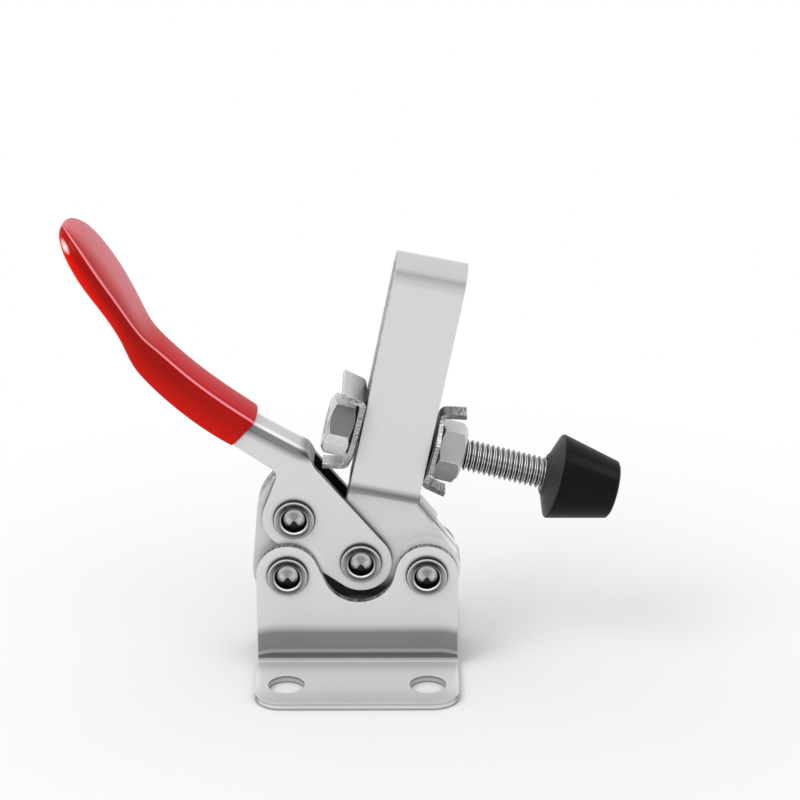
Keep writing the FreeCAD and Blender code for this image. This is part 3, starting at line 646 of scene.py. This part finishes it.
def cut_and_cap(form, point, outward):
    """Cuts off what lies beyond a plane and closes the hole."""
    cut = bmesh.ops.bisect_plane(
        form, geom=form.verts[:] + form.edges[:] + form.faces[:], dist=CUT_REACH,
        plane_co=point, plane_no=outward, clear_outer=True)
    rim = [item for item in cut["geom_cut"] if isinstance(item, bmesh.types.BMEdge)]
    bmesh.ops.contextual_create(form, geom=rim)


def lathe(form, outline, steps, closed=False):
    """Spins an outline of (along x, radius) points about the x axis."""
    points = [form.verts.new((along, 0.0, radius)) for along, radius in outline]
    pairs = list(zip(points, points[1:])) + ([(points[-1], points[0])] if closed else [])
    edges = [form.edges.new(pair) for pair in pairs]
    bmesh.ops.spin(form, geom=points + edges, cent=(0, 0, 0), axis=(1, 0, 0), dvec=(0, 0, 0),
                   angle=2 * math.pi, steps=steps, use_merge=True)


def rounded_outline(points, radius, steps=3):
    """The outline with each inner corner of a turned profile eased by a short curve."""
    eased = [points[0]]
    for before, corner, after in zip(points, points[1:], points[2:]):
        corner = Vector(corner)
        back, ahead = Vector(before) - corner, Vector(after) - corner
        cut = min(radius, back.length * 0.45, ahead.length * 0.45)
        start, end = corner + back.normalized() * cut, corner + ahead.normalized() * cut
        for number in range(steps + 1):
            share = number / steps
            eased.append(tuple(start * (1 - share) ** 2 + corner * 2 * share * (1 - share)
                               + end * share ** 2))
    return eased + [points[-1]]


def paint_node(node, material):
    """Gives a CAD node its finish."""
    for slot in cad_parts[node].material_slots:
        slot.material = material


class CLAMP_OT_plates(bpy.types.Operator):
    """Zinc finish for the base, links, holding bar and handle lever."""
    bl_idname = "clamp.plates"
    bl_label = "Plated sheet"

    def execute(self, context):
        zinc = context.scene.clamp_colours.zinc
        for node, finish in (
                ("base_near", base_finish), ("base_far", base_finish), ("link_near", link_finish),
                ("link_far", link_finish), ("handle_lever", lever_finish),
                ("holding_bar", bar_finish)):
            paint_node(node, finish("zinc_" + node, zinc))
        return {"FINISHED"}


class CLAMP_OT_washers(bpy.types.Operator):
    """Pressed washers: a plate with cut corners and two tabs folded away from the bar."""
    bl_idname = "clamp.washers"
    bl_label = "Washers"

    # half the plate's depth, half its straight length, where the fold starts, its radius at the
    # middle of the sheet, and how far the tab runs on after it
    half_depth, straight, fold_start, fold_radius, tab_run = 0.0066, 0.0029, 0.00628, 0.001025, 0.0036
    fold_angle, fold_steps = math.radians(78.0), 8
    # half the tabs' width, but for the rear washer's top tab, nearly as wide as its plate
    tab_half, wide_tab_half = 0.0021, 0.0064
    bore, edge_bevel = 0.0033, 0.00012

    def execute(self, context):
        gauge = context.scene.clamp_sizes.washer_gauge
        zinc = context.scene.clamp_colours.zinc
        for node, side, top_half in (("washer_front", 1, self.tab_half),
                                     ("washer_rear", -1, self.wide_tab_half)):
            form = self.blank(top_half)
            for vertex in form.verts:
                vertex.co = self.folded(vertex.co)
                vertex.co.x = side * (WASHER_FACE + gauge / 2 + vertex.co.x)
            face = washer_finish("zinc_" + node, zinc, side)
            washer = lay_piece(form, "pressed_" + node, face, "spindle_carriage", [node],
                               SPINDLE_FRAME, sharp=40.0)
            washer.data.materials.append(washer_rim_finish("zinc_rim_" + node, zinc, side))
            wall = washer.modifiers.new("sheet", "SOLIDIFY")
            wall.thickness, wall.offset, wall.material_offset_rim = gauge, 0.0, 1
            wall.use_even_offset = True
            soft = washer.modifiers.new("softened", "BEVEL")
            soft.width, soft.segments, soft.limit_method = self.edge_bevel, 2, "ANGLE"
            soft.angle_limit = math.radians(50.0)
        return {"FINISHED"}

    def blank(self, top_half):
        """The flat blank with its bore, cut across where the tabs are folded."""
        end = self.fold_start + self.fold_radius * self.fold_angle + self.tab_run
        outline = [(self.half_depth, -self.straight), (self.half_depth, self.straight),
                   (top_half, self.fold_start), (top_half, end)]
        outline += [(-y, z) for y, z in reversed(outline[1:])]
        outline += [(-self.half_depth, -self.straight), (-self.tab_half, -self.fold_start),
                    (-self.tab_half, -end), (self.tab_half, -end), (self.tab_half, -self.fold_start)]
        form = bmesh.new()
        corners = [form.verts.new((0.0, y, z)) for y, z in outline]
        for first, second in zip(corners, corners[1:] + corners[:1]):
            form.edges.new((first, second))
        bmesh.ops.create_circle(form, segments=36, radius=self.bore,
                                matrix=Matrix.Rotation(math.radians(90), 4, "Y"))
        bmesh.ops.triangle_fill(form, edges=form.edges[:], use_beauty=True)
        for sign in (-1, 1):
            for step in range(self.fold_steps + 1):
                place = self.fold_start + self.fold_radius * self.fold_angle * step / self.fold_steps
                bmesh.ops.bisect_plane(form, geom=form.verts[:] + form.edges[:] + form.faces[:],
                                       dist=CUT_REACH, plane_co=(0, 0, sign * place), plane_no=(0, 0, 1))
        return form

    def folded(self, point):
        """Where a point of the flat blank lies once the tabs are folded."""
        past = abs(point.z) - self.fold_start
        if past <= 0.0:
            return point
        angle = min(past / self.fold_radius, self.fold_angle)
        run = max(0.0, past - self.fold_radius * self.fold_angle)
        rise = self.fold_start + self.fold_radius * math.sin(angle) + run * math.cos(angle)
        out = self.fold_radius * (1 - math.cos(angle)) + run * math.sin(angle)
        return Vector((out, point.y, math.copysign(rise, point.z)))


class CLAMP_OT_rings(bpy.types.Operator):
    """Plated finish for the spacers and bushes between the plates."""
    bl_idname = "clamp.rings"
    bl_label = "Spacers and bushes"

    def execute(self, context):
        steel = ring_finish("ring_steel", context.scene.clamp_colours.steel)
        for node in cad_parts:
            if node.startswith(("spacer_", "bush_")):
                paint_node(node, steel)
        return {"FINISHED"}


class CLAMP_OT_rivets(bpy.types.Operator):
    """Turned rivets: a flat rim, a fine groove and a recess with a pointed centre."""
    bl_idname = "clamp.rivets"
    bl_label = "Rivets"

    # depths below the head's face, the shank's radius and the radius that eases the corners
    recess_depth, groove_depth, point_depth = 0.00090, 0.00022, 0.00010
    head_height, shank, easing = 0.00100, 0.0020, 0.00012

    def execute(self, context):
        for node, (pivot, end, body) in RIVETS.items():
            outline = rounded_outline(self.half_outline(context.scene.clamp_sizes, end), self.easing)
            mirrored = [(-along, radius) for along, radius in reversed(outline[:-1])]
            form = bmesh.new()
            lathe(form, outline + mirrored, 72)
            place = Matrix.Translation(pivot) @ Matrix.Rotation(math.radians(90), 4, "Z")
            steel = rivet_finish("steel_" + node, context.scene.clamp_colours.steel, pivot)
            lay_piece(form, "turned_" + node, steel, body, [node], place, sharp=50.0)
        return {"FINISHED"}

    def half_outline(self, sizes, end):
        """Half a rivet from the middle of its face, which is at end, to the middle of its shank."""
        head, recess = sizes.head_radius, sizes.recess_radius
        floor, groove, back = end - self.recess_depth, end - self.groove_depth, end - self.head_height
        return [
            (end - self.point_depth, 0.0), (floor, recess * 0.80), (floor, recess * 0.98),
            (groove, recess), (end - 0.00002, recess + 0.00018), (end, recess + 0.00042),
            (groove, recess + 0.00062), (groove, recess + 0.00076),
            (end - 0.00006, recess + 0.00098), (end - 0.00014, head - 0.00022),
            (end - 0.00040, head), (back, head), (back, self.shank), (0.0, self.shank)]


class CLAMP_OT_nuts(bpy.types.Operator):
    """Hexagon nuts, chamfered at both ends and countersunk at the thread."""
    bl_idname = "clamp.nuts"
    bl_label = "Nuts"

    # how far the round blank stands past the corners, how far the end faces stay inside the
    # flats, the thread's running fit, the countersink and the chamfer's angle
    past_corner, land_inset, fit, sink, chamfer = 0.0002, 0.0003, 0.00005, 0.0004, math.radians(38)

    def execute(self, context):
        sizes = context.scene.clamp_sizes
        colour = context.scene.clamp_colours.steel
        flat, height, sink = sizes.nut_flats / 2, sizes.nut_height, self.sink
        corner = flat / math.cos(math.radians(30)) + self.past_corner
        land, bore = flat - self.land_inset, sizes.thread_radius + self.fit
        lead = (corner - land) * math.tan(self.chamfer)
        for node, side, body in (("nut_front", 1, "front_nut"), ("nut_rear", -1, "rear_nut")):
            outline = [(0.0, bore + sink), (0.0, land), (lead, corner), (height - lead, corner),
                       (height, land), (height, bore + sink), (height - sink, bore), (sink, bore)]
            form = bmesh.new()
            lathe(form, [(side * (NUT_FACE + along), radius) for along, radius in outline], 96, closed=True)
            for number in range(6):
                angle = math.radians(30 + 60 * number)
                outward = Vector((0.0, math.cos(angle), math.sin(angle)))
                cut_and_cap(form, outward * flat, outward)
            steel = nut_finish("steel_" + node, colour, NUT_FLAT_PAINTED_LIGHT[node])
            lay_piece(form, "hex_" + node, steel, body, [node], SPINDLE_FRAME, sharp=14.0)
        return {"FINISHED"}


class CLAMP_OT_spindle(bpy.types.Operator):
    """Threaded spindle with its helix and bevelled ends."""
    bl_idname = "clamp.spindle"
    bl_label = "Spindle"

    turn_steps = 40
    root_ease, crest_ease, end_bevel = 0.00002, 0.00004, 0.0001

    def execute(self, context):
        sizes = context.scene.clamp_sizes
        pitch, crest = sizes.pitch, sizes.thread_radius
        root = crest - sizes.thread_depth
        # one turn's profile, as shares of the pitch and radii, starts two turns behind the end
        start = STUD_REAR - 2 * pitch
        turns = math.ceil((STUD_FRONT - start) / pitch) + 2
        wave = [(0.0, root), (0.08, root - self.root_ease), (0.20, root), (0.50, crest - self.crest_ease),
                (0.56, crest), (0.64, crest), (0.70, crest - self.crest_ease), (1.0, root)]
        form = bmesh.new()
        points = [form.verts.new((start + along * pitch, 0.0, radius)) for along, radius in wave]
        edges = [form.edges.new(pair) for pair in zip(points, points[1:])]
        bmesh.ops.spin(form, geom=points + edges, cent=(0, 0, 0), axis=(1, 0, 0),
                       dvec=(pitch / self.turn_steps, 0, 0), angle=2 * math.pi * turns,
                       steps=self.turn_steps * turns)
        bmesh.ops.remove_doubles(form, verts=form.verts, dist=0.000002)
        for vertex in form.verts:
            radius = math.hypot(vertex.co.y, vertex.co.z)
            inside = max(0.0, min(vertex.co.x - STUD_REAR, STUD_FRONT - vertex.co.x))
            bevel = root - self.end_bevel + inside
            if radius > bevel:
                vertex.co.y *= bevel / radius
                vertex.co.z *= bevel / radius
        for end, outward in ((STUD_REAR, -FORWARD), (STUD_FRONT, FORWARD)):
            cut_and_cap(form, (end, 0, 0), outward)
        steel = thread_finish("spindle_steel", context.scene.clamp_colours.steel)
        lay_piece(form, "threaded_spindle", steel, "spindle", ["spindle_stud"],
                  SPINDLE_FRAME, sharp=40.0)
        return {"FINISHED"}


class CLAMP_OT_rubber_tip(bpy.types.Operator):
    """Moulded rubber tip: a short cone at the thread, a rim and a long taper to its flat face."""
    bl_idname = "clamp.rubber_tip"
    bl_label = "Rubber tip"

    bore, bore_depth, dish, easing = 0.00302, 0.0091, 0.0003, 0.00012

    def execute(self, context):
        sizes = context.scene.clamp_sizes
        rim, end, bore, length = sizes.tip_rim, sizes.tip_end, self.bore, TIP_LENGTH
        outline = [(self.bore_depth, 0.0), (self.bore_depth, bore), (0.0, bore), (0.0, bore + 0.0007),
                   (0.0004, bore + 0.0011), (0.0019, rim - 0.0003), (0.0022, rim - 0.00008),
                   (length - 0.0004, end - 0.0002), (length, end - 0.0008), (length, end - 0.0015),
                   (length - self.dish, end - 0.0019), (length - self.dish, 0.0)]
        outline = [(TIP_START + along, radius) for along, radius in outline]
        form = bmesh.new()
        lathe(form, rounded_outline(outline, self.easing), 96)
        rubber = rubber_finish("rubber_tip_black", context.scene.clamp_colours.rubber)
        lay_piece(form, "moulded_tip", rubber, "spindle", ["rubber_tip"],
                  SPINDLE_FRAME, sharp=60.0)
        return {"FINISHED"}


class CLAMP_OT_grip(bpy.types.Operator):
    """Dipped grip: a boxed neck that opens into a broad, thin paddle."""
    bl_idname = "clamp.grip"
    bl_label = "Grip"

    # x and z from the handle's pin, heading in degrees, half width, edge, crown, belly: millimetres
    stations = (
        (-21.1, 26.45, 137.0, 4.9, 2.55, 3.25, 4.2),
        (-21.6, 26.8, 138.0, 4.95, 2.6, 3.3, 4.3),
        (-26.9, 30.45, 142.0, 5.0, 2.6, 3.25, 4.4),
        (-32.8, 35.2, 138.0, 5.0, 2.6, 3.25, 4.15),
        (-36.6, 38.9, 134.0, 5.05, 2.6, 3.2, 3.85),
        (-38.6, 41.15, 131.0, 5.2, 2.45, 2.95, 3.55),
        (-39.9, 43.2, 124.0, 5.9, 1.95, 2.45, 2.95),
        (-40.9, 45.2, 118.0, 6.8, 1.6, 2.2, 2.5),
        (-42.5, 48.7, 115.0, 8.3, 1.35, 2.1, 2.4),
        (-44.8, 53.1, 119.0, 9.4, 1.3, 2.2, 2.75),
        (-47.6, 57.6, 121.0, 9.8, 1.25, 2.2, 3.0),
        (-50.2, 61.6, 124.0, 8.5, 1.2, 2.0, 2.6),
        (-51.9, 63.6, 129.0, 6.4, 1.05, 1.7, 1.9),
        (-52.8, 64.6, 133.0, 4.2, 0.8, 1.2, 1.2),
        (-53.2, 65.0, 134.0, 2.2, 0.4, 0.6, 0.6),
    )
    # one quarter of a section, from the middle of its top to the middle of its side: the share of
    # the half width, and the share of the way down from the crown to the edge and on to the middle
    quarter = ((0.0, 0.0), (0.45, 0.16), (0.78, 0.50), (0.91, 0.80), (0.965, 1.10), (0.985, 1.45),
               (1.0, 2.0))
    # the heights in millimetres between which the neck becomes the paddle
    neck_top, paddle_start = 42.0, 50.0

    def ring(self, form, station):
        """One cross-section: a box with a crowned top, a fuller belly and a ridge down each side."""
        x, z, heading, half, edge, crown, belly = station
        angle = math.radians(heading)
        forward = Vector((math.cos(angle), 0.0, math.sin(angle)))
        up = ACROSS.cross(forward)
        paddle = min(1.0, max(0.0, (z - self.neck_top) / (self.paddle_start - self.neck_top)))
        points, levels = [], []
        for across_sign, rise_sign in ((1, 1), (1, -1), (-1, -1), (-1, 1)):
            tall = crown if rise_sign > 0 else belly
            rim = tall - (crown - edge)
            part = [(across_sign * across * half,
                     rise_sign * (tall - (tall - rim) * down if down <= 1.0 else rim * (2.0 - down)))
                    for across, down in self.quarter]
            heights = [0.5 + rise_sign * (2.0 - down) / 4.0 for across, down in self.quarter]
            points += (part if across_sign == rise_sign else part[::-1])[:-1]
            levels += (heights if across_sign == rise_sign else heights[::-1])[:-1]
        verts = bmesh.ops.create_circle(form, segments=len(points), radius=1.0)["verts"]
        for vertex, (across, rise), level in zip(verts, points, levels):
            vertex.co = (Vector((x, 0.0, z)) + ACROSS * across + up * rise) * MILLIMETRE + HANDLE_PIVOT
            vertex[form.verts.layers.float["rise"]] = level
            vertex[form.verts.layers.float["paddle"]] = paddle
        return [edge for edge in form.edges if all(v in verts for v in edge.verts)]

    def execute(self, context):
        form = bmesh.new()
        form.verts.layers.float.new("rise")
        form.verts.layers.float.new("paddle")
        loops = [self.ring(form, station) for station in self.stations]
        for first, second in zip(loops, loops[1:]):
            bmesh.ops.bridge_loops(form, edges=first + second)
        for loop, inward in ((loops[0], 0.0007), (loops[-1], 0.0005)):
            cap = bmesh.ops.contextual_create(form, geom=loop)["faces"]
            bmesh.ops.inset_region(form, faces=cap, thickness=inward, depth=0.0)
        coat = dip_finish("grip_red_dip", context.scene.clamp_colours.dip)
        grip = lay_piece(form, "dipped_grip", coat, "handle", ["handle_grip"], sharp=180.0)
        smooth = grip.modifiers.new("soft_dip", "SUBSURF")
        smooth.levels = smooth.render_levels = 2
        return {"FINISHED"}


class CLAMP_OT_stage(bpy.types.Operator):
    """Pale floor, soft lamps, a grey card that the metal reflects, and the camera."""
    bl_idname = "clamp.stage"
    bl_label = "Studio"

    # the grey card: its distance in front, its lower and upper edge, and the arc that it spans
    card_distance, card_bottom, card_top, card_arc = 0.9, 0.10, 0.80, math.radians(150)
    # the lamps: place, width and power, all turned to one point of the clamp
    lamps = {"key_softbox": ((-0.45, -0.35, 0.75), 0.50, 2.6),
             "fill_softbox": ((0.60, -0.50, 0.45), 0.60, 0.5)}
    lamp_target = Vector((0.0, 0.0, 0.035))
    # the camera: its place, how far it looks down and to the right, its focal length in pixels
    # of a square picture, and the picture's and the sensor's width
    camera_place, look_down, look_right = (0.0062, -0.3802, 0.1980), 21.0, 0.28
    focal_pixels, picture_pixels, sensor = 2200, 800, 36.0

    def execute(self, context):
        self.lay_floor(context.scene.clamp_colours.floor)
        self.hang_card()
        self.hang_lamps()
        self.light_world()
        self.stand_camera()
        context.scene.view_settings.view_transform = "Standard"
        return {"FINISHED"}

    def clear_rays(self, nodes):
        """One for the rays that see the background: camera, mirror and clear rays."""
        rays = nodes.add("ShaderNodeLightPath").outputs
        total = nodes.math("MAXIMUM", rays["Is Camera Ray"], rays["Is Glossy Ray"])
        return nodes.math("MAXIMUM", total, rays["Is Transmission Ray"])

    def floor_finish(self, colour):
        """Pale and matt near the clamp, with painted shadow in narrow gaps, and a clear white further out.
        """
        finish = Finish("floor_white")
        finish.use("Roughness", 0.9)
        finish.use("Specular IOR Level", 0.1)
        mottle = finish.noise(14.0, 3.0)
        base = finish.blend(mottle, shade(colour, 0.995), shade(colour, 1.005))
        # painted shadow in narrow gaps near the clamp
        finish.use("Base Color", finish.dim(base, finish.painted_gap_shade(0.004, 0.2, 0.7, 0.55)))
        away = finish.add("ShaderNodeVectorMath", operation="DISTANCE")
        away.inputs[1].default_value = (0.01, -0.02, 0.0)
        finish.wire(finish.place, away.inputs[0])
        far = finish.span(away.outputs["Value"], 0.045, 0.16)
        far.node.interpolation_type = "SMOOTHSTEP"
        white = finish.add("ShaderNodeEmission")
        finish.mixed_surface(finish.times(far, self.clear_rays(finish)),
                             finish.shader.outputs["BSDF"], white.outputs["Emission"])
        return finish.material

    def lay_floor(self, colour):
        form = bmesh.new()
        bmesh.ops.create_grid(form, x_segments=1, y_segments=1, size=6.0)
        floor = make_object(form, "studio_floor", self.floor_finish(colour))

    def card_finish(self):
        """An even grey that fades out at the card's lower and upper edge."""
        finish = Finish("card_grey")
        dull = finish.add("ShaderNodeEmission")
        dull.inputs["Color"].default_value = (0.30, 0.30, 0.30, 1.0)
        clear = finish.add("ShaderNodeBsdfTransparent")
        parts = finish.add("ShaderNodeSeparateXYZ")
        finish.wire(finish.place, parts.inputs["Vector"])
        height = parts.outputs["Z"]
        fade = finish.times(finish.span(height, self.card_bottom, 0.18),
                            finish.span(height, self.card_top, 0.50))
        finish.mixed_surface(fade, clear.outputs["BSDF"], dull.outputs["Emission"])
        return finish.material

    def hang_card(self):
        """A broad grey card in front, above the camera's height, seen by mirror rays alone."""
        form = bmesh.new()
        bottom = [form.verts.new((0.0, -self.card_distance, self.card_bottom))]
        bmesh.ops.extrude_vert_indiv(form, verts=bottom)
        form.verts.ensure_lookup_table()
        form.verts[1].co.z = self.card_top
        bmesh.ops.spin(form, geom=form.verts[:] + form.edges[:], cent=(0, 0, 0), axis=(0, 0, 1),
                       dvec=(0, 0, 0), angle=self.card_arc, steps=30)
        bmesh.ops.rotate(form, verts=form.verts, cent=(0, 0, 0),
                         matrix=Matrix.Rotation(-self.card_arc / 2, 3, "Z"))
        card = make_object(form, "grey_card", self.card_finish())
        card.visible_camera = card.visible_diffuse = False
        card.visible_transmission = card.visible_shadow = False

    def hang_lamps(self):
        for name, (place, width, power) in self.lamps.items():
            lamp = bpy.data.lights.new(name, "AREA")
            lamp.shape, lamp.size, lamp.energy = "SQUARE", width, power
            holder = bpy.data.objects.new(name, lamp)
            bpy.context.scene.collection.objects.link(holder)
            holder.location = place
            aim = self.lamp_target - Vector(place)
            holder.rotation_euler = aim.to_track_quat("-Z", "Y").to_euler()

    def light_world(self):
        """A white background, a little weaker as a light than it looks."""
        world = bpy.data.worlds.new("studio_world")
        bpy.context.scene.world = world
        world.use_nodes = True
        nodes = Nodes(world.node_tree)
        background = nodes.tree.nodes["Background"].inputs
        nodes.wire(WHITE, background["Color"])
        nodes.wire(nodes.span(self.clear_rays(nodes), 0.0, 1.0, 0.82, 1.0), background["Strength"])

    def stand_camera(self):
        lens = bpy.data.cameras.new("photo_camera")
        lens.sensor_width = self.sensor
        lens.lens = self.focal_pixels / self.picture_pixels * self.sensor
        lens.clip_start = 0.01
        camera = bpy.data.objects.new("photo_camera", lens)
        bpy.context.scene.collection.objects.link(camera)
        camera.location = self.camera_place
        camera.rotation_euler = (math.radians(90.0 - self.look_down), 0.0, math.radians(-self.look_right))
        bpy.context.scene.camera = camera


class CLAMP_PT_panel(bpy.types.Panel):
    """Lists the clamp's pieces, sizes and colours."""
    bl_idname = "CLAMP_PT_panel"
    bl_label = "Toggle Clamp"
    bl_space_type = "VIEW_3D"
    bl_region_type = "UI"
    bl_category = "Toggle Clamp"

    def draw(self, context):
        scene = context.scene
        for heading, group in (("Sizes", scene.clamp_sizes), ("Colours", scene.clamp_colours)):
            box = self.layout.box()
            box.label(text=heading)
            for name in group.__annotations__:
                box.prop(group, name)
        for operator in OPERATORS:
            self.layout.operator(operator.bl_idname)


OPERATORS = (
    CLAMP_OT_plates, CLAMP_OT_washers, CLAMP_OT_rings, CLAMP_OT_rivets, CLAMP_OT_nuts,
    CLAMP_OT_spindle, CLAMP_OT_rubber_tip, CLAMP_OT_grip, CLAMP_OT_stage)
CLASSES = (ClampSizes, ClampColours) + OPERATORS + (CLAMP_PT_panel,)


def register():
    for item in CLASSES:
        bpy.utils.register_class(item)
    bpy.types.Scene.clamp_sizes = bpy.props.PointerProperty(type=ClampSizes)
    bpy.types.Scene.clamp_colours = bpy.props.PointerProperty(type=ClampColours)


def unregister():
    del bpy.types.Scene.clamp_colours
    del bpy.types.Scene.clamp_sizes
    for item in reversed(CLASSES):
        bpy.utils.unregister_class(item)


def main():
    register()
    bpy.ops.clamp.plates()
    bpy.ops.clamp.washers()
    bpy.ops.clamp.rings()
    bpy.ops.clamp.rivets()
    bpy.ops.clamp.nuts()
    bpy.ops.clamp.spindle()
    bpy.ops.clamp.rubber_tip()
    bpy.ops.clamp.grip()
    bpy.ops.clamp.stage()


if __name__ == "__main__":
    main()
